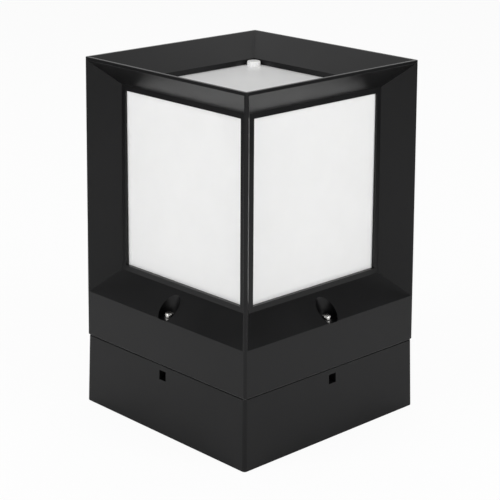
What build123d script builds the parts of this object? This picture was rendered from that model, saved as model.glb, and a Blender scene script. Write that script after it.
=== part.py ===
"""Square wall top light: a flared black lantern head with an opal diffuser, on a black base box.

Millimetres, +Z up, with the origin at the middle of the underside. The front is the -Y side.
"""

import os
from math import atan2, cos, degrees, radians, sin, tan

from build123d import *

os.makedirs("parts", exist_ok=True)

# Outer body
rim_width = 200.0  # across the top rim
frame_height = 251.0  # foot of the skirt to the rim
frame_taper = 2.7  # the foot stands out this far past the rim, on each side
frame_corner_radius = 2.2
base_height = 62.9
base_taper = 1.8  # the base's foot stands out past its top
base_step = 0.5  # the base's top lies inside the foot of the skirt
base_corner_radius = 3.0
edge_radius = 0.5  # on the outer edges of both mouldings
parting_gap = 1.1  # open joint between base and skirt
cut_margin = 1.0  # how far a cutting body passes the face that it cuts

# Window recesses and the hopper-shaped top
edge_land = 2.6  # flat outer edge of each flared bar
recess_depth = 21.0  # side face to the flat lip round the diffuser
post_flare = 21.0  # width of a post's sloped flank, seen square on
header_flare = 20.2
skirt_height = 41.0  # foot of the skirt to the outer edge of the sill
sill_rise = 21.3
lip_band = 4.9  # width of the flat lip between the slopes and the opening
lip_thickness = 1.6  # at the head of the opening, where the draft leaves it thinnest
hopper_depth = 19.5
hopper_flare = 24.2
hopper_lip = 4.3  # steep edge at the foot of the hopper
hopper_lip_draft = 1.2  # its foot stands in from its top
skirt_wall = 3.2
sill_thickness = 5.0  # upright thickness of the sloped sill
shelf_thickness = 8.3  # inner edge of the sill's slope down to the diffuser's shelf

# Diffuser
diffuser_clearance = 0.3
diffuser_wall = 2.5
diffuser_corner_radius = 1.2
diffuser_inner_radius = 0.8
diffuser_top_radius = 3.0
flange_thickness = 2.5
flange_corner_radius = 2.0
diffuser_gasket_thickness = 1.5
stud_radius = 6.0  # round studs on the diffuser's top
stud_rise = 4.6
stud_inset = 13.2  # side of the diffuser to the middle of a stud
stud_edge_radius = 1.2
diffuser_screw_diameter = 2.9
diffuser_screw_bite = 5.0  # into the shelf
diffuser_screw_head_diameter = 5.4
diffuser_screw_head_height = 1.9

# Cover screws, pan head, in round pockets in the sills
cover_screw_inset = 8.3  # outer edge of the sill to the screw's axis
cover_screw_diameter = 4.0
cover_screw_length = 55.0
cover_tip_chamfer = 0.5
cover_head_diameter = 7.8
cover_head_height = 3.1
crown_share = 0.55  # rounded part of a pan head's height
cross_width = 1.0
cross_span = 4.6
cross_depth = 1.9
pocket_radius = 9.5
pocket_drop = 0.6  # outer edge of the sill down to the pocket's floor
pocket_wall = 1.6
guide_radius = 5.0  # tube under the pocket that guides the screw
cover_washer_diameter = 8.8
cover_washer_thickness = 0.8
cover_seal_diameter = 7.2
cover_seal_thickness = 1.0
screw_clearance = 0.3  # on the radius of a plain screw hole
thread_clearance = 0.05  # on the radius of a threaded hole

# Base box
base_wall = 3.2
deck_thickness = 3.5
window_width = 8.4  # small windows through which the cover nuts go in
window_height = 8.6
window_drop = 4.6  # top of the base down to the head of a window
nut_width = 7.0
nut_thickness = 3.2
nut_clearance = 0.4
boss_wall = 3.0
gasket_margin = 1.2  # outside of the base to the gasket
gasket_width = 2.0
groove_depth = 1.4
groove_clearance = 0.1
rib_clearance = 0.5
rib_thickness = 2.5
rib_height = 6.0
rib_leg = 38.0  # length of each leg of a corner rib

# Mounting tray and its studs
tray_gap = 6.0  # base wall to the tray's edge
tray_thickness = 1.5
tray_height = 6.0
tray_corner_radius = 6.0
anchor_spacing = 140.0
anchor_hole_diameter = 6.5
cable_hole_diameter = 16.0
grommet_flange = 3.0
grommet_lip = 1.8
cable_bore_diameter = 9.0
plate_stud_spacing = 116.0
plate_stud_diameter = 5.0
plate_stud_head_diameter = 9.0
plate_stud_head_height = 1.5
plate_stud_rise = 9.0  # above the deck
stud_washer_diameter = 10.0
stud_washer_thickness = 1.0
stud_nut_width = 8.0
stud_nut_thickness = 4.0

# Lampholder, for a 27 mm screw cap
holder_diameter = 42.0
holder_height = 50.0
holder_foot_length = 70.0
holder_foot_width = 20.0
holder_foot_height = 7.0
chamber_diameter = 32.0
chamber_height = 9.0
socket_depth = 30.0
shell_diameter = 29.0
shell_thickness = 0.8
shell_height = 27.0
shell_floor_bore = 16.0
shell_clearance = 0.1
holder_screw_spacing = 54.0
holder_screw_diameter = 3.5
holder_screw_length = 13.0
holder_screw_head_diameter = 7.0
holder_screw_head_height = 2.4
contact_length = 14.0
contact_width = 6.0
contact_thickness = 0.6
contact_rise = 4.0
terminal_diameter = 4.0
terminal_drop = 4.0  # terminal post below the roof of the wiring chamber
live_x = -4.0
neutral_x = 11.0

# Wiring
wire_diameter = 2.4
wire_bend = 9.0
wire_passage_diameter = 28.0
block_length = 32.0
block_width = 18.0
block_height = 15.0
block_corner_radius = 1.2
block_offset = 38.0  # axis of the lamp to the middle of the terminal block
block_wire_hole = 3.0
block_wire_seat = 6.0  # wire's end inside the block
block_wire_drop = 8.0  # deck to the wire
block_screw_diameter = 3.2
block_screw_spread = 9.0
block_fixing_diameter = 3.0
block_fixing_head_diameter = 5.6
block_fixing_head_height = 2.0
block_fixing_bite = 2.6  # into the deck

# Bulb
bulb_gap = 0.3  # centre contact to the bulb's eyelet
eyelet_diameter = 9.4
eyelet_height = 1.6
insulator_height = 4.4
cap_diameter = 26.4
cap_height = 21.0
cap_thickness = 0.8
cap_rings = 5
cap_ring_depth = 0.7
cap_ring_width = 1.8
cap_ring_radius = 0.6
bulb_neck_depth = 8.0
bulb_neck_clearance = 0.1
bulb_shoulder_diameter = 31.0
bulb_housing_height = 41.0
bulb_diameter = 60.0
bulb_wall = 1.8
globe_height = 43.0

# Places that follow from the sizes above
rim_half = rim_width / 2
frame_foot = base_height + parting_gap
lamp_height = frame_foot + frame_height
skirt_half = rim_half + frame_taper
base_top_half = skirt_half - base_step
base_foot_half = base_top_half + base_taper
frame_draft = degrees(atan2(frame_taper, frame_height))
sill_height = frame_foot + skirt_height
sill_half = skirt_half - skirt_height * tan(radians(frame_draft))
window_foot = sill_height + sill_rise
sill_slope = sill_rise / recess_depth
deck_underside = base_height - deck_thickness

skirt_cavity_half = sill_half - skirt_wall
roof_foot = sill_height + skirt_wall * sill_slope - sill_thickness
shelf_height = window_foot - shelf_thickness
shelf_half = sill_half - (shelf_height + sill_thickness - sill_height) / sill_slope

hopper_half = rim_half - edge_land - hopper_flare - hopper_lip_draft
diffuser_seat = lamp_height - hopper_depth - hopper_lip
diffuser_top = diffuser_seat - diffuser_clearance

opening_drop = edge_land + header_flare + lip_band
opening_face_half = rim_half + opening_drop * tan(radians(frame_draft))
diffuser_cavity_half = opening_face_half - recess_depth - lip_thickness
diffuser_half = diffuser_cavity_half - diffuser_clearance
flange_top = shelf_height - diffuser_gasket_thickness
flange_foot = flange_top - flange_thickness

cover_offset = sill_half - cover_screw_inset
pocket_floor = sill_height - pocket_drop
tower_radius = pocket_radius + pocket_wall
tower_foot = pocket_floor - skirt_wall
seal_seat = pocket_floor + cover_washer_thickness
head_seat = seal_seat + cover_seal_thickness
cover_hole_radius = cover_screw_diameter / 2 + screw_clearance
flange_half = cover_offset - tower_radius - diffuser_clearance
diffuser_screw_place = (flange_half + diffuser_half) / 2

window_head = base_height - window_drop
nut_pocket_end = cover_offset - nut_width / 2 - nut_clearance
gasket_half = base_top_half - gasket_margin
gasket_inner_half = gasket_half - gasket_width
groove_floor = base_height - groove_depth
rib_half = skirt_cavity_half - rib_clearance

tray_half = base_foot_half - base_wall - tray_gap
tray_underside = tray_height - tray_thickness

holder_top = base_height + holder_height
socket_floor = holder_top - socket_depth
chamber_roof = base_height + chamber_height
foot_top = base_height + holder_foot_height
terminal_foot = chamber_roof - terminal_drop
contact_top = socket_floor + contact_rise
block_foot = deck_underside - block_height
block_x = (live_x + neutral_x) / 2
wire_level = deck_underside - block_wire_drop
block_face = block_offset - block_width / 2

eyelet_foot = contact_top + bulb_gap
insulator_foot = eyelet_foot + eyelet_height
cap_foot = insulator_foot + insulator_height
cap_top = cap_foot + cap_height
bulb_waist = cap_top + bulb_housing_height
bulb_top = bulb_waist + globe_height

# The sides on which the cover screws stand, as turns about the lamp's axis
sides = {"right": 0, "back": 90, "left": 180, "front": 270}


def on_side(turn, distance, height):
    """Level plane at a distance from the lamp's axis, towards one side."""
    spot = Vector(distance, 0, height).rotate(Axis.Z, turn)
    return Plane(origin=spot, x_dir=Vector(1, 0, 0).rotate(Axis.Z, turn), z_dir=(0, 0, 1))


def pan_head(diameter, height):
    """Crowned head with a cross recess, standing on the XY plane."""
    with BuildPart() as head:
        with BuildSketch():
            Circle(diameter / 2)
        extrude(amount=height)
        fillet(head.edges().sort_by(Axis.Z)[-1], radius=height * crown_share)
        with BuildSketch(Plane.XY.offset(height)):
            Rectangle(cross_span, cross_width)
            Rectangle(cross_width, cross_span)
        extrude(amount=-cross_depth, mode=Mode.SUBTRACT)
    return head.part


# Pressed steel tray, edges turned down onto the wall
with BuildPart() as mounting_plate:
    with BuildSketch():
        RectangleRounded(2 * tray_half, 2 * tray_half, tray_corner_radius)
    extrude(amount=tray_height)
    with BuildSketch():
        tray_inside = 2 * (tray_half - tray_thickness)
        RectangleRounded(tray_inside, tray_inside, tray_corner_radius - tray_thickness)
    extrude(amount=tray_underside, mode=Mode.SUBTRACT)
    with Locations((0, 0, tray_height)):
        with GridLocations(anchor_spacing, anchor_spacing, 2, 2):
            Hole(anchor_hole_diameter / 2)
        with GridLocations(plate_stud_spacing, plate_stud_spacing, 2, 2):
            Hole(plate_stud_diameter / 2 + thread_clearance)
        Hole(cable_hole_diameter / 2)
mounting_plate.part.label = "mounting_plate"
export_step(mounting_plate.part, "parts/mounting_plate.step")

# Studs clinched into the tray, heads below its sheet
stud_top = base_height + plate_stud_rise
with BuildPart() as plate_studs:
    with BuildSketch(Plane.XY.offset(tray_underside - plate_stud_head_height)):
        with GridLocations(plate_stud_spacing, plate_stud_spacing, 2, 2):
            Circle(plate_stud_head_diameter / 2)
    extrude(amount=plate_stud_head_height)
    with BuildSketch(Plane.XY.offset(tray_underside)):
        with GridLocations(plate_stud_spacing, plate_stud_spacing, 2, 2):
            Circle(plate_stud_diameter / 2)
    extrude(amount=stud_top - tray_underside)
plate_studs.part.label = "plate_studs"
export_step(plate_studs.part, "parts/plate_studs.step")

# Rubber bush round the supply cable's way in
grommet_radius = cable_hole_diameter / 2 - groove_clearance
with BuildPart() as cable_grommet:
    with BuildSketch(Plane.XY.offset(tray_underside - grommet_lip)):
        Circle(grommet_radius + grommet_flange)
    extrude(amount=grommet_lip)
    with BuildSketch(Plane.XY.offset(tray_underside)):
        Circle(grommet_radius)
    extrude(amount=tray_thickness)
    with BuildSketch(Plane.XY.offset(tray_height)):
        Circle(grommet_radius + grommet_flange)
    extrude(amount=grommet_lip)
    Hole(cable_bore_diameter / 2)
cable_grommet.part.label = "cable_grommet"
export_step(cable_grommet.part, "parts/cable_grommet.step")

# Space inside the base box, less the bosses that hold the cover nuts
boss_width = window_width + 2 * boss_wall
boss_foot = window_head - window_height - boss_wall
boss_inner = nut_pocket_end - boss_wall
with BuildPart() as base_cavity:
    with BuildSketch():
        Rectangle(2 * (base_foot_half - base_wall), 2 * (base_foot_half - base_wall))
    with BuildSketch(Plane.XY.offset(deck_underside)):
        Rectangle(2 * (base_top_half - base_wall), 2 * (base_top_half - base_wall))
    loft()
    for turn in sides.values():
        with BuildSketch(on_side(turn, boss_inner, boss_foot)):
            Rectangle(base_foot_half, boss_width, align=(Align.MIN, Align.CENTER))
        extrude(amount=deck_underside - boss_foot, mode=Mode.SUBTRACT)

# Base box: drafted walls, closed by a deck, with corner ribs that locate the head
with BuildPart() as base_housing:
    with BuildSketch():
        Rectangle(2 * base_foot_half, 2 * base_foot_half)
    with BuildSketch(Plane.XY.offset(base_height)):
        Rectangle(2 * base_top_half, 2 * base_top_half)
    loft()
    fillet(base_housing.edges().group_by(Axis.Z)[1], radius=base_corner_radius)
    fillet(base_housing.edges().group_by(Axis.Z)[0], radius=edge_radius)
    fillet(base_housing.edges().group_by(Axis.Z)[-1], radius=edge_radius)
    add(base_cavity.part, mode=Mode.SUBTRACT)
    with BuildSketch(Plane.XY.offset(base_height)):
        Rectangle(2 * (gasket_half + groove_clearance), 2 * (gasket_half + groove_clearance))
        inner_groove = 2 * (gasket_inner_half - groove_clearance)
        Rectangle(inner_groove, inner_groove, mode=Mode.SUBTRACT)
    extrude(amount=-groove_depth, mode=Mode.SUBTRACT)
    with BuildSketch(Plane.XY.offset(base_height)):
        Rectangle(2 * rib_half, 2 * rib_half)
        Rectangle(2 * (rib_half - rib_thickness), 2 * (rib_half - rib_thickness), mode=Mode.SUBTRACT)
        Rectangle(2 * (rib_half - rib_leg), 2 * rib_half, mode=Mode.SUBTRACT)
        Rectangle(2 * rib_half, 2 * (rib_half - rib_leg), mode=Mode.SUBTRACT)
    extrude(amount=rib_height)
    for turn in sides.values():
        with BuildSketch(on_side(turn, nut_pocket_end, window_head)):
            Rectangle(base_foot_half, window_width, align=(Align.MIN, Align.CENTER))
        extrude(amount=-window_height, mode=Mode.SUBTRACT)
    with Locations((0, 0, base_height)):
        with PolarLocations(cover_offset, len(sides)):
            Hole(cover_hole_radius, depth=base_height - window_head)
        with GridLocations(plate_stud_spacing, plate_stud_spacing, 2, 2):
            Hole(plate_stud_diameter / 2 + screw_clearance, depth=deck_thickness)
        with GridLocations(0, holder_screw_spacing, 1, 2):
            Hole(holder_screw_diameter / 2 + thread_clearance, depth=deck_thickness)
        Hole(wire_passage_diameter / 2, depth=deck_thickness)
    with BuildSketch(Plane.XY.offset(deck_underside)):
        with Locations((block_x, block_offset)):
            Circle(block_fixing_diameter / 2 + thread_clearance)
    extrude(amount=block_fixing_bite, mode=Mode.SUBTRACT)
base_housing.part.label = "base_housing"
export_step(base_housing.part, "parts/base_housing.step")

# Seal between base and skirt
with BuildPart() as base_gasket:
    with BuildSketch(Plane.XY.offset(groove_floor)):
        Rectangle(2 * gasket_half, 2 * gasket_half)
        Rectangle(2 * gasket_inner_half, 2 * gasket_inner_half, mode=Mode.SUBTRACT)
    extrude(amount=groove_depth + parting_gap)
base_gasket.part.label = "base_gasket"
export_step(base_gasket.part, "parts/base_gasket.step")

# Washers and nuts that clamp the deck to the tray's studs
with BuildPart() as stud_washers:
    with BuildSketch(Plane.XY.offset(base_height)):
        with GridLocations(plate_stud_spacing, plate_stud_spacing, 2, 2):
            Circle(stud_washer_diameter / 2)
            Circle(plate_stud_diameter / 2 + screw_clearance, mode=Mode.SUBTRACT)
    extrude(amount=stud_washer_thickness)
stud_washers.part.label = "stud_washers"
export_step(stud_washers.part, "parts/stud_washers.step")

with BuildPart() as stud_nuts:
    with BuildSketch(Plane.XY.offset(base_height + stud_washer_thickness)):
        with GridLocations(plate_stud_spacing, plate_stud_spacing, 2, 2):
            RegularPolygon(stud_nut_width / 2, 6, major_radius=False)
            Circle(plate_stud_diameter / 2 + thread_clearance, mode=Mode.SUBTRACT)
    extrude(amount=stud_nut_thickness)
stud_nuts.part.label = "stud_nuts"
export_step(stud_nuts.part, "parts/stud_nuts.step")

# Square nuts, drawn up against the heads of the base's windows
with BuildPart() as cover_nuts:
    with BuildSketch(Plane.XY.offset(window_head)):
        with PolarLocations(cover_offset, len(sides)):
            Rectangle(nut_width, nut_width)
            Circle(cover_screw_diameter / 2 + thread_clearance, mode=Mode.SUBTRACT)
    extrude(amount=-nut_thickness)
cover_nuts.part.label = "cover_nuts"
export_step(cover_nuts.part, "parts/cover_nuts.step")

# Supply terminals under the deck
block_place = (block_x, block_offset)
block_pitch = neutral_x - live_x
block_screw_level = wire_level - wire_diameter / 2 - thread_clearance
with BuildPart() as terminal_block:
    with BuildSketch(Plane.XY.offset(block_foot)):
        with Locations(block_place):
            RectangleRounded(block_length, block_width, block_corner_radius)
    extrude(amount=block_height)
    with BuildSketch(Plane.XZ.offset(-block_face)):
        with Locations((live_x, wire_level), (neutral_x, wire_level)):
            Circle(block_wire_hole / 2)
    extrude(amount=-block_width, mode=Mode.SUBTRACT)
    with Locations((*block_place, block_foot)):
        with GridLocations(block_pitch, block_screw_spread, 2, 2):
            Cylinder(
                block_screw_diameter / 2 + thread_clearance,
                wire_level - block_foot,
                align=(Align.CENTER, Align.CENTER, Align.MIN),
                mode=Mode.SUBTRACT,
            )
        Cylinder(
            block_fixing_diameter / 2 + screw_clearance,
            block_height,
            align=(Align.CENTER, Align.CENTER, Align.MIN),
            mode=Mode.SUBTRACT,
        )
terminal_block.part.label = "terminal_block"
export_step(terminal_block.part, "parts/terminal_block.step")

with BuildPart() as terminal_screws:
    with BuildSketch(Plane.XY.offset(block_foot)):
        with Locations(block_place):
            with GridLocations(block_pitch, block_screw_spread, 2, 2):
                Circle(block_screw_diameter / 2)
    extrude(amount=block_screw_level - block_foot)
terminal_screws.part.label = "terminal_screws"
export_step(terminal_screws.part, "parts/terminal_screws.step")

with BuildPart() as terminal_block_screw:
    with BuildSketch(Plane.XY.offset(block_foot - block_fixing_head_height)):
        with Locations(block_place):
            Circle(block_fixing_head_diameter / 2)
    extrude(amount=block_fixing_head_height)
    with BuildSketch(Plane.XY.offset(block_foot)):
        with Locations(block_place):
            Circle(block_fixing_diameter / 2)
    extrude(amount=block_height + block_fixing_bite - thread_clearance)
terminal_block_screw.part.label = "terminal_block_screw"
export_step(terminal_block_screw.part, "parts/terminal_block_screw.step")

# Lampholder: barrel with a wiring chamber below and a socket above, on a two-eared foot
with BuildPart() as lampholder_body:
    with BuildSketch(Plane.XY.offset(base_height)):
        SlotOverall(holder_foot_length, holder_foot_width, rotation=90)
    extrude(amount=holder_foot_height)
    with BuildSketch(Plane.XY.offset(base_height)):
        Circle(holder_diameter / 2)
    extrude(amount=holder_height)
    with BuildSketch(Plane.XY.offset(base_height)):
        Circle(chamber_diameter / 2)
    extrude(amount=chamber_height, mode=Mode.SUBTRACT)
    with BuildSketch(Plane.XY.offset(socket_floor)):
        Circle(shell_diameter / 2 + shell_clearance)
    extrude(amount=socket_depth, mode=Mode.SUBTRACT)
    with BuildSketch(Plane.XY.offset(chamber_roof)):
        with Locations((live_x, 0), (neutral_x, 0)):
            Circle(terminal_diameter / 2 + thread_clearance)
    extrude(amount=socket_floor - chamber_roof, mode=Mode.SUBTRACT)
    with BuildSketch(Plane.XY.offset(base_height)):
        with GridLocations(0, holder_screw_spacing, 1, 2):
            Circle(holder_screw_diameter / 2 + screw_clearance)
    extrude(amount=holder_foot_height, mode=Mode.SUBTRACT)
lampholder_body.part.label = "lampholder_body"
export_step(lampholder_body.part, "parts/lampholder_body.step")

with BuildPart() as lampholder_shell:
    with BuildSketch(Plane.XY.offset(socket_floor)):
        Circle(shell_diameter / 2)
    extrude(amount=shell_height)
    with BuildSketch(Plane.XY.offset(socket_floor + shell_thickness)):
        Circle(shell_diameter / 2 - shell_thickness)
    extrude(amount=shell_height, mode=Mode.SUBTRACT)
    with BuildSketch(Plane.XY.offset(socket_floor)):
        Circle(shell_floor_bore / 2)
    extrude(amount=shell_thickness, mode=Mode.SUBTRACT)
lampholder_shell.part.label = "lampholder_shell"
export_step(lampholder_shell.part, "parts/lampholder_shell.step")

# Centre contact: a strip folded back over itself
with BuildPart() as lampholder_contact:
    with BuildSketch(Plane.XZ):
        with Locations((0, socket_floor)):
            Rectangle(contact_length, contact_thickness, align=(Align.CENTER, Align.MIN))
        with Locations((contact_length / 2, socket_floor)):
            Rectangle(contact_thickness, contact_rise, align=(Align.MAX, Align.MIN))
        with Locations((contact_length / 2, contact_top)):
            Rectangle(contact_length - contact_rise, contact_thickness, align=(Align.MAX, Align.MAX))
    extrude(amount=contact_width / 2, both=True)
lampholder_contact.part.label = "lampholder_contact"
export_step(lampholder_contact.part, "parts/lampholder_contact.step")

with BuildPart() as lampholder_terminals:
    with BuildSketch(Plane.XY.offset(terminal_foot)):
        with Locations((live_x, 0), (neutral_x, 0)):
            Circle(terminal_diameter / 2)
    extrude(amount=socket_floor - terminal_foot)
lampholder_terminals.part.label = "lampholder_terminals"
export_step(lampholder_terminals.part, "parts/lampholder_terminals.step")

with BuildPart() as lampholder_screws:
    with BuildSketch(Plane.XY.offset(foot_top)):
        with GridLocations(0, holder_screw_spacing, 1, 2):
            Circle(holder_screw_diameter / 2)
    extrude(amount=-holder_screw_length)
    with Locations((0, 0, foot_top)):
        with GridLocations(0, holder_screw_spacing, 1, 2):
            add(pan_head(holder_screw_head_diameter, holder_screw_head_height))
lampholder_screws.part.label = "lampholder_screws"
export_step(lampholder_screws.part, "parts/lampholder_screws.step")

# Leads from the lampholder's terminals down through the deck to the terminal block
wire_end = block_face + block_wire_seat
for name, x in (("wire_live", live_x), ("wire_neutral", neutral_x)):
    with BuildPart() as wire:
        with BuildLine() as route:
            FilletPolyline(
                (x, 0, terminal_foot),
                (x, 0, wire_level),
                (x, wire_end, wire_level),
                radius=wire_bend,
            )
        with BuildSketch(Plane(origin=route.line @ 0, z_dir=route.line % 0)):
            Circle(wire_diameter / 2)
        sweep()
    wire.part.label = name
    export_step(wire.part, f"parts/{name}.step")

# Bulb: eyelet, insulator, screw cap, housing and globe
with BuildPart() as bulb_eyelet:
    with BuildSketch(Plane.XY.offset(eyelet_foot)):
        Circle(eyelet_diameter / 2)
    extrude(amount=eyelet_height)
    fillet(bulb_eyelet.edges().sort_by(Axis.Z)[0], radius=eyelet_height / 2)
bulb_eyelet.part.label = "bulb_eyelet"
export_step(bulb_eyelet.part, "parts/bulb_eyelet.step")

cap_core_radius = cap_diameter / 2 - cap_ring_depth
cap_inner_radius = cap_core_radius - cap_thickness
with BuildPart() as bulb_insulator:
    with BuildSketch(Plane.XY.offset(insulator_foot)):
        Circle(eyelet_diameter / 2)
    with BuildSketch(Plane.XY.offset(cap_foot)):
        Circle(cap_inner_radius)
    loft()
bulb_insulator.part.label = "bulb_insulator"
export_step(bulb_insulator.part, "parts/bulb_insulator.step")

ring_pitch = cap_height / (cap_rings + 1)
with BuildPart() as bulb_cap:
    with BuildSketch(Plane.XY.offset(cap_foot)):
        Circle(cap_core_radius)
        Circle(cap_inner_radius, mode=Mode.SUBTRACT)
    extrude(amount=cap_height)
    for ring in range(1, cap_rings + 1):
        with BuildSketch(Plane.XY.offset(cap_foot + ring * ring_pitch)):
            Circle(cap_diameter / 2)
            Circle(cap_inner_radius, mode=Mode.SUBTRACT)
        extrude(amount=cap_ring_width / 2, both=True)
    rims = bulb_cap.edges().filter_by(GeomType.CIRCLE)
    fillet([rim for rim in rims if rim.radius > cap_core_radius + cap_ring_radius], radius=cap_ring_radius)
bulb_cap.part.label = "bulb_cap"
export_step(bulb_cap.part, "parts/bulb_cap.step")

neck_radius = cap_inner_radius - bulb_neck_clearance
with BuildPart() as bulb_housing:
    with BuildSketch(Plane.XZ):
        with BuildLine():
            Polyline(
                (neck_radius, cap_top),
                (neck_radius, cap_top - bulb_neck_depth),
                (neck_radius - bulb_wall, cap_top - bulb_neck_depth),
                (neck_radius - bulb_wall, cap_top + bulb_wall),
                (bulb_diameter / 2 - bulb_wall, bulb_waist),
                (bulb_diameter / 2, bulb_waist),
            )
            shoulder = (bulb_shoulder_diameter / 2, cap_top)
            TangentArc((bulb_diameter / 2, bulb_waist), shoulder, tangent=(0, -1))
            Line(shoulder, (neck_radius, cap_top))
        make_face()
    revolve(axis=Axis.Z)
bulb_housing.part.label = "bulb_housing"
export_step(bulb_housing.part, "parts/bulb_housing.step")

globe_centre = bulb_top - bulb_diameter / 2
globe_inner_radius = bulb_diameter / 2 - bulb_wall
with BuildPart() as bulb_globe:
    with BuildSketch(Plane.XZ):
        with BuildLine():
            Line((bulb_diameter / 2, bulb_waist), (bulb_diameter / 2, globe_centre))
            CenterArc((0, globe_centre), bulb_diameter / 2, 0, 90)
            Line((0, bulb_top), (0, bulb_top - bulb_wall))
            CenterArc((0, globe_centre), globe_inner_radius, 0, 90)
            Line((globe_inner_radius, globe_centre), (globe_inner_radius, bulb_waist))
            Line((globe_inner_radius, bulb_waist), (bulb_diameter / 2, bulb_waist))
        make_face()
    revolve(axis=Axis.Z)
bulb_globe.part.label = "bulb_globe"
export_step(bulb_globe.part, "parts/bulb_globe.step")


def window_outline(post, head, foot):
    """Window on a side face, inset from its upright edges, its head and foot this far below the rim."""
    head_half = rim_half + head * tan(radians(frame_draft)) - post
    foot_half = rim_half + foot * tan(radians(frame_draft)) - post
    Polygon((-foot_half, -foot), (foot_half, -foot), (head_half, -head), (-head_half, -head), align=None)


# One side's window: the sloped recess, and the opening inside its flat lip
face_plane = Plane(
    origin=(0, -rim_half, lamp_height),
    x_dir=(1, 0, 0),
    z_dir=(0, -cos(radians(frame_draft)), sin(radians(frame_draft))),
)
sill_drop = lamp_height - sill_height
with BuildPart() as window_recess:
    for depth in (-cut_margin, recess_depth):
        share = depth / recess_depth
        with BuildSketch(face_plane.offset(-depth)):
            flank = edge_land + post_flare * share
            window_outline(flank, edge_land + header_flare * share, sill_drop - sill_rise * share)
    loft(ruled=True)

with BuildPart() as window_opening:
    with BuildSketch(face_plane.offset(-recess_depth)):
        window_outline(edge_land + post_flare + lip_band, opening_drop, sill_drop - sill_rise - lip_band)
    extrude(amount=recess_depth + diffuser_cavity_half - skirt_half - cut_margin)

# Space inside the skirt, less the towers that hold the screw pockets
with BuildPart() as skirt_cavity:
    with BuildSketch(Plane.XY.offset(frame_foot)):
        Rectangle(2 * skirt_cavity_half, 2 * skirt_cavity_half)
    extrude(amount=roof_foot - frame_foot)
    with BuildSketch(Plane.XY.offset(roof_foot)):
        Rectangle(2 * skirt_cavity_half, 2 * skirt_cavity_half)
    with BuildSketch(Plane.XY.offset(shelf_height)):
        Rectangle(2 * shelf_half, 2 * shelf_half)
    loft()
    with BuildSketch(Plane.XY.offset(frame_foot)):
        with PolarLocations(cover_offset, len(sides)):
            Circle(guide_radius)
    extrude(amount=tower_foot - frame_foot, mode=Mode.SUBTRACT)
    with BuildSketch(Plane.XY.offset(tower_foot)):
        with PolarLocations(cover_offset, len(sides)):
            Circle(tower_radius)
    extrude(amount=shelf_height - tower_foot, mode=Mode.SUBTRACT)

# Lantern frame: skirt, sloped sills, flared posts and hopper-shaped rim in one moulding
with BuildPart() as lantern_frame:
    with BuildSketch(Plane.XY.offset(frame_foot)):
        Rectangle(2 * skirt_half, 2 * skirt_half)
    with BuildSketch(Plane.XY.offset(lamp_height)):
        Rectangle(rim_width, rim_width)
    loft()
    with PolarLocations(0, len(sides)):
        add(window_recess.part, mode=Mode.SUBTRACT)
    upright = [face for face in lantern_frame.faces() if abs(face.normal_at().Z) < sin(radians(45))]
    rims = [face.inner_wires()[0] for face in upright if face.inner_wires()]
    fillet([edge for rim in rims for edge in rim.edges()], radius=edge_radius)
    tall = [edge for edge in lantern_frame.edges() if edge.bounding_box().size.Z > frame_height - cut_margin]
    fillet(tall, radius=frame_corner_radius)
    add(skirt_cavity.part, mode=Mode.SUBTRACT)
    with BuildSketch(Plane.XY.offset(shelf_height)):
        Rectangle(2 * diffuser_cavity_half, 2 * diffuser_cavity_half)
    extrude(amount=diffuser_seat - shelf_height, mode=Mode.SUBTRACT)
    for height, half in (
        (diffuser_seat, hopper_half),
        (lamp_height - hopper_depth, hopper_half + hopper_lip_draft),
        (lamp_height, rim_half - edge_land),
    ):
        with BuildSketch(Plane.XY.offset(height)):
            Rectangle(2 * half, 2 * half)
    loft(ruled=True, mode=Mode.SUBTRACT)
    fillet(lantern_frame.edges().group_by(Axis.Z)[-1], radius=edge_radius)
    fillet(lantern_frame.faces().sort_by(Axis.Z)[0].outer_wire().edges(), radius=edge_radius)
    with PolarLocations(0, len(sides)):
        add(window_opening.part, mode=Mode.SUBTRACT)
    with BuildSketch(Plane.XY.offset(pocket_floor)):
        with PolarLocations(cover_offset, len(sides)):
            Circle(pocket_radius)
    extrude(amount=window_foot - pocket_floor, mode=Mode.SUBTRACT)
    with BuildSketch(Plane.XY.offset(frame_foot)):
        with PolarLocations(cover_offset, len(sides)):
            Circle(cover_hole_radius)
    extrude(amount=pocket_floor - frame_foot, mode=Mode.SUBTRACT)
    with BuildSketch(Plane.XY.offset(shelf_height)):
        with GridLocations(2 * diffuser_screw_place, 2 * diffuser_screw_place, 2, 2):
            Circle(diffuser_screw_diameter / 2 + thread_clearance)
    extrude(amount=diffuser_screw_bite, mode=Mode.SUBTRACT)
lantern_frame.part.label = "lantern_frame"
export_step(lantern_frame.part, "parts/lantern_frame.step")

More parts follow.
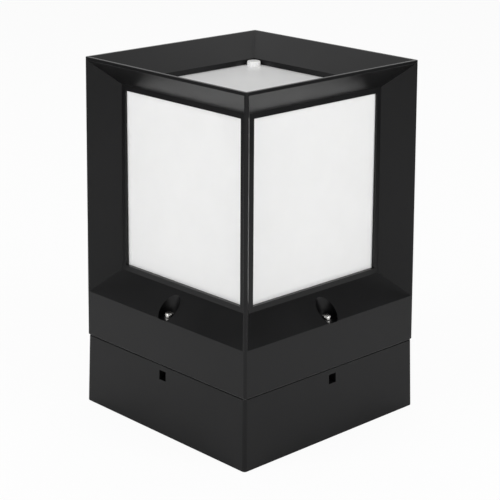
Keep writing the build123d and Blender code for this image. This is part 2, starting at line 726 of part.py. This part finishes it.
# Opal diffuser: five-sided box with a flange below and four studs on top
stud_place = diffuser_half - stud_inset
diffuser_inner_half = diffuser_half - diffuser_wall
with BuildPart() as diffuser:
    with BuildSketch(Plane.XY.offset(flange_foot)):
        RectangleRounded(2 * diffuser_half, 2 * diffuser_half, diffuser_corner_radius)
    extrude(amount=diffuser_top - flange_foot)
    fillet(diffuser.faces().sort_by(Axis.Z)[-1].edges(), radius=diffuser_top_radius)
    with BuildSketch(Plane.XY.offset(flange_foot)):
        RectangleRounded(2 * flange_half, 2 * flange_half, flange_corner_radius)
    extrude(amount=flange_thickness)
    with BuildSketch(Plane.XY.offset(flange_foot)):
        RectangleRounded(2 * diffuser_inner_half, 2 * diffuser_inner_half, diffuser_inner_radius)
    extrude(amount=diffuser_top - diffuser_wall - flange_foot, mode=Mode.SUBTRACT)
    with BuildSketch(Plane.XY.offset(flange_foot)):
        with GridLocations(2 * diffuser_screw_place, 2 * diffuser_screw_place, 2, 2):
            Circle(diffuser_screw_diameter / 2 + screw_clearance)
    extrude(amount=flange_thickness, mode=Mode.SUBTRACT)
    with BuildSketch(Plane.XY.offset(diffuser_top)):
        with GridLocations(2 * stud_place, 2 * stud_place, 2, 2):
            Circle(stud_radius)
    extrude(amount=stud_rise)
    fillet(diffuser.edges().group_by(Axis.Z)[-1], radius=stud_edge_radius)
diffuser.part.label = "diffuser"
export_step(diffuser.part, "parts/diffuser.step")

with BuildPart() as diffuser_gasket:
    with BuildSketch(Plane.XY.offset(flange_top)):
        RectangleRounded(2 * flange_half, 2 * flange_half, flange_corner_radius)
        opening = 2 * diffuser_cavity_half
        RectangleRounded(opening, opening, diffuser_corner_radius, mode=Mode.SUBTRACT)
        with GridLocations(2 * diffuser_screw_place, 2 * diffuser_screw_place, 2, 2):
            Circle(diffuser_screw_diameter / 2 + screw_clearance, mode=Mode.SUBTRACT)
    extrude(amount=diffuser_gasket_thickness)
diffuser_gasket.part.label = "diffuser_gasket"
export_step(diffuser_gasket.part, "parts/diffuser_gasket.step")

# Screws that hold the flange up, heads below
diffuser_screw_tip = shelf_height + diffuser_screw_bite - screw_clearance
with BuildPart() as diffuser_screws:
    with BuildSketch(Plane.XY.offset(flange_foot)):
        with GridLocations(2 * diffuser_screw_place, 2 * diffuser_screw_place, 2, 2):
            Circle(diffuser_screw_diameter / 2)
    extrude(amount=diffuser_screw_tip - flange_foot)
    with BuildSketch(Plane.XY.offset(flange_foot)):
        with GridLocations(2 * diffuser_screw_place, 2 * diffuser_screw_place, 2, 2):
            Circle(diffuser_screw_head_diameter / 2)
    extrude(amount=-diffuser_screw_head_height)
diffuser_screws.part.label = "diffuser_screws"
export_step(diffuser_screws.part, "parts/diffuser_screws.step")

# Plain washers on the pocket floors
with BuildPart() as cover_washers:
    with BuildSketch(Plane.XY.offset(pocket_floor)):
        with PolarLocations(cover_offset, len(sides)):
            Circle(cover_washer_diameter / 2)
            Circle(cover_hole_radius, mode=Mode.SUBTRACT)
    extrude(amount=cover_washer_thickness)
cover_washers.part.label = "cover_washers"
export_step(cover_washers.part, "parts/cover_washers.step")

# Sealing washers and cover screws, one of each on every side
for side, turn in sides.items():
    with BuildPart() as cover_seal:
        with BuildSketch(on_side(turn, cover_offset, seal_seat)):
            Circle(cover_seal_diameter / 2)
            Circle(cover_screw_diameter / 2 + thread_clearance, mode=Mode.SUBTRACT)
        extrude(amount=cover_seal_thickness)
    cover_seal.part.label = f"cover_seal_{side}"
    export_step(cover_seal.part, f"parts/cover_seal_{side}.step")

    with BuildPart() as cover_screw:
        with BuildSketch(on_side(turn, cover_offset, head_seat)):
            Circle(cover_screw_diameter / 2)
        extrude(amount=-cover_screw_length)
        chamfer(cover_screw.edges().sort_by(Axis.Z)[0], length=cover_tip_chamfer)
        head_spot = on_side(turn, cover_offset, head_seat).location
        with Locations(head_spot):
            add(pan_head(cover_head_diameter, cover_head_height))
    cover_screw.part.label = f"cover_screw_{side}"
    export_step(cover_screw.part, f"parts/cover_screw_{side}.step")
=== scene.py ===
"""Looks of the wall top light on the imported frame: materials, studio and camera, with lengths in metres."""

import math

import bpy
from mathutils import Matrix, Vector

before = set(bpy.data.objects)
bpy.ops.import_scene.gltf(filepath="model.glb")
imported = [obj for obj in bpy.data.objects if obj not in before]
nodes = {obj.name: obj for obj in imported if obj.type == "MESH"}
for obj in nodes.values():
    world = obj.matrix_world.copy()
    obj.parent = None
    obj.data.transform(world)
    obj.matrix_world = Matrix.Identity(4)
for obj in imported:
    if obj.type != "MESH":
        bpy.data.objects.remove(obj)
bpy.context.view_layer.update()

# Features of the part that its materials follow
sides = ("front", "right", "back", "left")
screw_pitch = 0.0007
screw_thread_top = 0.100
cap_pitch = 0.00363
edge_highlight_width = 0.0011  # width of the painted edge highlight, a lighter grey band along the mouldings' edges
spangles_per_metre = 220.0  # of the zinc plating

# Camera, fitted to the photograph
camera_place = (0.9509, -0.90475, 0.56402)
camera_yaw = math.radians(46.431)
camera_pitch = math.radians(17.721)
camera_roll = math.radians(-0.334)
lens_length = 112.86  # millimetres
sensor_width = 36.0  # millimetres
clip_near = 0.05
clip_far = 100.0
away = Vector((-math.sin(camera_yaw), math.cos(camera_yaw), 0.0))  # level, away from the camera
across = Vector((math.cos(camera_yaw), math.sin(camera_yaw), 0.0))  # level, to the camera's right

# Studio
white = (1.0, 1.0, 1.0, 1.0)
paper_white = (0.92, 0.92, 0.92, 1.0)
paper_size = 40.0
paper_drop = 0.0005  # under the part's foot
paper_glow = 0.94  # share of plain white where the camera sees the paper
dusk_level = 0.1  # of the paper far aside, where it only shows in reflections
lamp_aim = (0.0, 0.0, 0.16)
strip_aim = (0.0, 0.0, 0.3)

# Range that holds nearly all values of a noise texture
noise_low = 0.3
noise_high = 0.7

# Bands in pi metres of a wave texture whose scale is 1
wave_bands = 10


class Graph:
    """Nodes of one shader tree."""

    def __init__(self, tree):
        self.tree = tree

    def node(self, kind, **settings):
        made = self.tree.nodes.new(kind)
        for key, value in settings.items():
            setattr(made, key, value)
        return made

    def link(self, source, target):
        self.tree.links.new(source, target)

    def product(self, factor, other):
        """A socket times a number or another socket."""
        made = self.node("ShaderNodeMath", operation="MULTIPLY")
        self.link(factor, made.inputs[0])
        if isinstance(other, float):
            made.inputs[1].default_value = other
        else:
            self.link(other, made.inputs[1])
        return made.outputs["Value"]

    def height(self, place):
        """Z of a place or direction."""
        made = self.node("ShaderNodeSeparateXYZ")
        self.link(place, made.inputs["Vector"])
        return made.outputs["Z"]

    def reach(self, place, direction):
        """How far a place lies along a direction, either way from the middle."""
        dot = self.node("ShaderNodeVectorMath", operation="DOT_PRODUCT")
        self.link(place, dot.inputs[0])
        dot.inputs[1].default_value = direction
        size = self.node("ShaderNodeMath", operation="ABSOLUTE")
        self.link(dot.outputs["Value"], size.inputs[0])
        return size.outputs["Value"]

    def span(self, factor, low, high, start=noise_low, stop=noise_high):
        """Number that runs from low to high as the factor runs from start to stop."""
        ramp = self.node("ShaderNodeMapRange")
        ramp.inputs["From Min"].default_value = start
        ramp.inputs["From Max"].default_value = stop
        ramp.inputs["To Min"].default_value = low
        ramp.inputs["To Max"].default_value = high
        self.link(factor, ramp.inputs["Value"])
        return ramp.outputs["Result"]

    def blend(self, factor, first, second):
        """Shader between two shaders."""
        made = self.node("ShaderNodeMixShader")
        self.link(factor, made.inputs["Fac"])
        self.link(first, made.inputs[1])
        self.link(second, made.inputs[2])
        return made.outputs["Shader"]


class Look(Graph):
    """A procedural material: shading nodes round one Principled BSDF, placed in the part's own metres."""

    def __init__(self, name, **sockets):
        self.material = bpy.data.materials.new(name)
        self.material.use_nodes = True
        super().__init__(self.material.node_tree)
        self.bsdf = self.tree.nodes["Principled BSDF"]
        self.place = self.node("ShaderNodeTexCoord").outputs["Object"]
        for key, value in sockets.items():
            self.bsdf.inputs[key.replace("_", " ")].default_value = value

    def noise(self, size, detail=3.0, roughness=0.55, stretch=(1, 1, 1)):
        """Noise whose patches are about this large."""
        mapping = self.node("ShaderNodeMapping")
        mapping.inputs["Scale"].default_value = Vector(stretch) / size
        self.link(self.place, mapping.inputs["Vector"])
        noise = self.node("ShaderNodeTexNoise")
        noise.inputs["Scale"].default_value = 1.0
        noise.inputs["Detail"].default_value = detail
        noise.inputs["Roughness"].default_value = roughness
        self.link(mapping.outputs["Vector"], noise.inputs["Vector"])
        return noise.outputs["Fac"]

    def thread(self, pitch):
        """Bands across Z, one for each turn of a thread."""
        wave = self.node("ShaderNodeTexWave", wave_type="BANDS", bands_direction="Z", wave_profile="TRI")
        wave.inputs["Scale"].default_value = math.pi / wave_bands / pitch
        self.link(self.place, wave.inputs["Vector"])
        return wave.outputs["Fac"]

    def below(self, limit):
        """1 under this height, 0 above it."""
        made = self.node("ShaderNodeMath", operation="LESS_THAN")
        self.link(self.height(self.place), made.inputs[0])
        made.inputs[1].default_value = limit
        return made.outputs["Value"]

    def edges(self, radius):
        """Mask that is 1 on sharp edges of about this radius and 0 on flat faces."""
        bevel = self.node("ShaderNodeBevel", samples=6)
        bevel.inputs["Radius"].default_value = radius
        flat = self.node("ShaderNodeNewGeometry")
        dot = self.node("ShaderNodeVectorMath", operation="DOT_PRODUCT")
        self.link(bevel.outputs["Normal"], dot.inputs[0])
        self.link(flat.outputs["True Normal"], dot.inputs[1])
        return self.span(dot.outputs["Value"], low=1.0, high=0.0, start=0.72, stop=0.99)

    def mix(self, factor, first, second):
        """Colour between two, each a colour or a socket."""
        mixer = self.node("ShaderNodeMix", data_type="RGBA")
        self.link(factor, mixer.inputs["Factor"])
        for value, socket in ((first, mixer.inputs["A"]), (second, mixer.inputs["B"])):
            if isinstance(value, tuple):
                socket.default_value = (*value, 1.0)
            else:
                self.link(value, socket)
        return mixer.outputs["Result"]

    def tone(self, factor, first, second, start=noise_low, stop=noise_high):
        """Colour that runs from the first to the second as the factor runs from start to stop."""
        return self.mix(self.span(factor, low=0.0, high=1.0, start=start, stop=stop), first, second)

    def colour(self, tint):
        self.link(tint, self.bsdf.inputs["Base Color"])

    def rough(self, factor, low, high, start=noise_low, stop=noise_high):
        self.link(self.span(factor, low, high, start, stop), self.bsdf.inputs["Roughness"])

    def bump(self, relief, depth, strength=1.0):
        """Surface relief this deep."""
        bump = self.node("ShaderNodeBump")
        bump.inputs["Strength"].default_value = strength
        bump.inputs["Distance"].default_value = depth
        self.link(relief, bump.inputs["Height"])
        self.link(bump.outputs["Normal"], self.bsdf.inputs["Normal"])

    def dress(self, *names):
        for name in names:
            mesh = nodes[name].data
            mesh.materials.clear()
            mesh.materials.append(self.material)


# Black satin mouldings: fine spark-eroded grain, clouded gloss, and a painted highlight of lighter grey along
# the edges; the base is a little duller
for name, gloss in (("lantern_frame", 1.36), ("base_housing", 1.34)):
    black = Look(f"satin_black_{name}", IOR=gloss)
    clouds = black.noise(size=0.06, detail=4.0)
    tint = black.tone(clouds, (0.0030, 0.0030, 0.0033), (0.0044, 0.0044, 0.0048))
    # painted highlight: a lighter grey is mixed in along the edges
    black.colour(black.mix(black.edges(edge_highlight_width), tint, (0.0085, 0.0086, 0.0092)))
    black.rough(clouds, low=0.28, high=0.35)
    black.bump(black.noise(size=0.0006, detail=2.0), depth=0.00006, strength=0.35)
    black.dress(name)

# Opal diffuser: white, softly clouded, satin
opal = Look("opal_diffuser", IOR=1.49, Subsurface_Weight=0.25, Subsurface_Radius=(0.003, 0.003, 0.0028),
            Subsurface_Scale=1.0)
opal.colour(opal.tone(opal.noise(size=0.05), (0.83, 0.83, 0.825), (0.86, 0.86, 0.855)))
opal.rough(opal.noise(size=0.02), low=0.34, high=0.44)
opal.bump(opal.noise(size=0.0012, detail=2.0), depth=0.00003, strength=0.3)
opal.dress("diffuser")

# Rubber seals, of a greyer rubber along the parting line
black_seals = ("diffuser_gasket", "cable_grommet", *[f"cover_seal_{side}" for side in sides])
for name, dark, light, seals in (
    ("grey_rubber", (0.060, 0.060, 0.061), (0.085, 0.085, 0.086), ("base_gasket",)),
    ("black_rubber", (0.010, 0.010, 0.010), (0.022, 0.022, 0.021), black_seals),
):
    rubber = Look(name, IOR=1.52)
    rubber.colour(rubber.tone(rubber.noise(size=0.004), dark, light))
    rubber.rough(rubber.noise(size=0.002), low=0.62, high=0.8)
    rubber.bump(rubber.noise(size=0.0007), depth=0.00006, strength=0.5)
    rubber.dress(*seals)

# Bright stainless fasteners
stainless = Look("stainless_fasteners", Metallic=1.0)
streak = stainless.noise(size=0.0009, stretch=(1, 1, 0.25))
stainless.colour(stainless.tone(streak, (0.56, 0.55, 0.53), (0.70, 0.69, 0.67)))
stainless.rough(streak, low=0.20, high=0.34)
stainless.bump(streak, depth=0.00002, strength=0.4)
stainless.dress("diffuser_screws", "cover_washers", "cover_nuts")

# Cover screws: much the same metal, with a thread along the shank
screw_steel = Look("stainless_cover_screws", Metallic=1.0)
streak = screw_steel.noise(size=0.0009, stretch=(1, 1, 0.25))
screw_steel.colour(screw_steel.tone(streak, (0.58, 0.57, 0.55), (0.72, 0.71, 0.69)))
screw_steel.rough(streak, low=0.18, high=0.30)
shank_thread = screw_steel.product(screw_steel.thread(screw_pitch), screw_steel.below(screw_thread_top))
screw_steel.bump(shank_thread, depth=0.0004)
screw_steel.dress(*[f"cover_screw_{side}" for side in sides])

# Zinc plated steel: crystalline patches, slightly yellowed
zinc = Look("zinc_plated_steel", Metallic=1.0)
spangle = zinc.node("ShaderNodeTexVoronoi", feature="F1")
spangle.inputs["Scale"].default_value = spangles_per_metre
zinc.link(zinc.place, spangle.inputs["Vector"])
flake = zinc.node("ShaderNodeSeparateColor")
zinc.link(spangle.outputs["Color"], flake.inputs["Color"])
zinc.colour(zinc.mix(flake.outputs["Red"], (0.46, 0.47, 0.48), (0.58, 0.58, 0.56)))
zinc.rough(flake.outputs["Green"], low=0.28, high=0.46, start=0.0, stop=1.0)
zinc.bump(zinc.noise(size=0.0015), depth=0.00004, strength=0.4)
zinc.dress("mounting_plate", "plate_studs", "stud_washers", "stud_nuts")
zinc.dress("lampholder_screws", "terminal_block_screw")

# Glazed ceramic lampholder
ceramic = Look("glazed_ceramic", IOR=1.5, Coat_Weight=0.5, Coat_Roughness=0.06)
speck = ceramic.noise(size=0.0012, detail=5.0)
ceramic.colour(ceramic.tone(speck, (0.80, 0.78, 0.72), (0.70, 0.67, 0.60), start=0.35, stop=0.75))
ceramic.rough(ceramic.noise(size=0.008), low=0.16, high=0.28)
ceramic.bump(ceramic.noise(size=0.006), depth=0.0002, strength=0.3)
ceramic.dress("lampholder_body")

# Brass contacts and terminals
brass = Look("brass", Metallic=1.0)
tarnish = brass.noise(size=0.006, detail=4.0)
brass.colour(brass.tone(tarnish, (0.75, 0.57, 0.26), (0.56, 0.39, 0.16)))
brass.rough(tarnish, low=0.22, high=0.42)
brass.bump(brass.noise(size=0.0008), depth=0.00003, strength=0.4)
brass.dress("lampholder_contact", "lampholder_terminals", "terminal_screws")

# Threaded sleeve of the lampholder
sleeve = Look("brass_thread_sleeve", Metallic=1.0)
tarnish = sleeve.noise(size=0.006, detail=4.0)
sleeve.colour(sleeve.tone(tarnish, (0.73, 0.56, 0.27), (0.55, 0.40, 0.18)))
sleeve.rough(tarnish, low=0.22, high=0.40)
sleeve.bump(sleeve.thread(cap_pitch), depth=0.0009, strength=0.7)
sleeve.dress("lampholder_shell")

# Terminal block
block = Look("terminal_block_white", IOR=1.5)
block.colour(block.tone(block.noise(size=0.005), (0.74, 0.74, 0.70), (0.80, 0.80, 0.77)))
block.rough(block.noise(size=0.003), low=0.42, high=0.55)
block.bump(block.noise(size=0.0006), depth=0.00004, strength=0.4)
block.dress("terminal_block")

# Insulation of the leads: brown and blue
for name, dark, light in (
    ("wire_live", (0.12, 0.045, 0.018), (0.17, 0.066, 0.028)),
    ("wire_neutral", (0.020, 0.075, 0.30), (0.030, 0.105, 0.38)),
):
    lead = Look(f"insulation_{name}", IOR=1.53)
    lead.colour(lead.tone(lead.noise(size=0.003), dark, light))
    lead.rough(lead.noise(size=0.002), low=0.34, high=0.5)
    lead.bump(lead.noise(size=0.0009), depth=0.00005, strength=0.4)
    lead.dress(name)

# Bulb: solder on the eyelet
solder = Look("solder", Metallic=1.0)
drop = solder.noise(size=0.0015)
solder.colour(solder.tone(drop, (0.55, 0.55, 0.56), (0.68, 0.68, 0.69)))
solder.rough(drop, low=0.3, high=0.5)
solder.bump(drop, depth=0.0002, strength=0.5)
solder.dress("bulb_eyelet")

# Bulb: black glass between eyelet and cap
glass = Look("black_cap_insulator", IOR=1.52, Coat_Weight=0.6, Coat_Roughness=0.05)
swirl = glass.noise(size=0.004, detail=5.0)
glass.colour(glass.tone(swirl, (0.006, 0.006, 0.008), (0.02, 0.02, 0.024)))
glass.rough(swirl, low=0.12, high=0.24)
glass.bump(swirl, depth=0.0001, strength=0.3)
glass.dress("bulb_insulator")

# Bulb: bright drawn cap
cap = Look("bulb_cap_metal", Metallic=1.0)
streak = cap.noise(size=0.0012, stretch=(1, 1, 0.2))
cap.colour(cap.tone(streak, (0.62, 0.62, 0.61), (0.76, 0.76, 0.75)))
cap.rough(streak, low=0.18, high=0.32)
cap.bump(streak, depth=0.00003, strength=0.4)
cap.dress("bulb_cap")

# Bulb: white housing
housing = Look("bulb_housing_white", IOR=1.5)
housing.colour(housing.tone(housing.noise(size=0.02), (0.78, 0.78, 0.77), (0.83, 0.83, 0.82)))
housing.rough(housing.noise(size=0.006), low=0.30, high=0.42)
housing.bump(housing.noise(size=0.0008), depth=0.00003, strength=0.3)
housing.dress("bulb_housing")

# Bulb: opal globe
globe = Look("bulb_globe_opal", IOR=1.5, Subsurface_Weight=0.3, Subsurface_Radius=(0.004, 0.004, 0.0036),
             Subsurface_Scale=1.0)
globe.colour(globe.tone(globe.noise(size=0.03), (0.86, 0.86, 0.85), (0.90, 0.90, 0.885)))
globe.rough(globe.noise(size=0.01), low=0.26, high=0.36)
globe.bump(globe.noise(size=0.001), depth=0.00002, strength=0.3)
globe.dress("bulb_globe")

scene = bpy.context.scene
scene.view_settings.view_transform = "Standard"

# Sky: brightest at the horizon, in front and behind, and dimmer on both sides; plain white to the camera
world = bpy.data.worlds.new("studio")
scene.world = world
world.use_nodes = True
world.node_tree.nodes.clear()
sky = Graph(world.node_tree)
direction = sky.node("ShaderNodeTexCoord").outputs["Generated"]
upward = sky.span(sky.height(direction), low=1.0, high=0.32, start=0.05, stop=0.70)
endward = sky.span(sky.reach(direction, away), low=0.45, high=0.92, start=0.1, stop=0.7)
dome = sky.node("ShaderNodeBackground")
dome.inputs["Color"].default_value = white
sky.link(sky.product(upward, endward), dome.inputs["Strength"])
plain = sky.node("ShaderNodeBackground")
plain.inputs["Color"].default_value = white
rays = sky.node("ShaderNodeLightPath")
seen = sky.blend(rays.outputs["Is Camera Ray"], dome.outputs["Background"], plain.outputs["Background"])
sky.link(seen, sky.node("ShaderNodeOutputWorld").inputs["Surface"])

# Floor: white paper that keeps a soft shadow, and fades far to both sides in the reflections
bpy.ops.mesh.primitive_plane_add(size=paper_size, location=(0, 0, -paper_drop))
floor = bpy.context.object
floor.name = "floor"
paper = bpy.data.materials.new("white_paper")
paper.use_nodes = True
paper.node_tree.nodes.clear()
sheet = Graph(paper.node_tree)
matt = sheet.node("ShaderNodeBsdfDiffuse")
matt.inputs["Color"].default_value = paper_white
glow = sheet.node("ShaderNodeEmission")
dusk = sheet.node("ShaderNodeEmission")
dusk.inputs["Strength"].default_value = dusk_level
rays = sheet.node("ShaderNodeLightPath")
aside = sheet.reach(sheet.node("ShaderNodeTexCoord").outputs["Object"], across)
fade = sheet.span(aside, low=0.0, high=1.0, start=0.65, stop=1.15)
faded = sheet.product(rays.outputs["Is Glossy Ray"], fade)
bright = sheet.product(rays.outputs["Is Camera Ray"], paper_glow)
shown = sheet.blend(bright, matt.outputs["BSDF"], glow.outputs["Emission"])
shown = sheet.blend(faded, shown, dusk.outputs["Emission"])
sheet.link(shown, sheet.node("ShaderNodeOutputMaterial").inputs["Surface"])
floor.data.materials.append(paper)


def softbox(name, place, aim, width, depth, power):
    """Large soft lamp that shines from its place towards its aim, in watts."""
    lamp = bpy.data.lights.new(name, "AREA")
    lamp.shape = "RECTANGLE"
    lamp.size = width
    lamp.size_y = depth
    lamp.energy = power
    made = bpy.data.objects.new(name, lamp)
    made.location = place
    made.rotation_euler = (Vector(aim) - Vector(place)).to_track_quat("-Z", "Y").to_euler()
    scene.collection.objects.link(made)


softbox("left_softbox", place=(-0.28, -1.83, 1.05), aim=lamp_aim, width=1.1, depth=1.1, power=20.5)
softbox("right_softbox", place=(1.83, 0.28, 1.05), aim=lamp_aim, width=1.1, depth=1.1, power=20.5)
softbox("top_strip", place=(-0.92, 0.88, 1.80), aim=strip_aim, width=3.0, depth=1.1, power=9.0)

# Camera
forward = math.cos(camera_pitch) * away - Vector((0.0, 0.0, math.sin(camera_pitch)))
under = forward.cross(across)
right = math.cos(camera_roll) * across + math.sin(camera_roll) * under
down = math.cos(camera_roll) * under - math.sin(camera_roll) * across
lens = bpy.data.cameras.new("camera")
lens.sensor_fit = "HORIZONTAL"
lens.sensor_width = sensor_width
lens.lens = lens_length
lens.clip_start = clip_near
lens.clip_end = clip_far
camera = bpy.data.objects.new("camera", lens)
camera_turn = Matrix((right, -down, -forward)).transposed().to_4x4()
camera.matrix_world = Matrix.Translation(camera_place) @ camera_turn
scene.collection.objects.link(camera)
scene.camera = camera
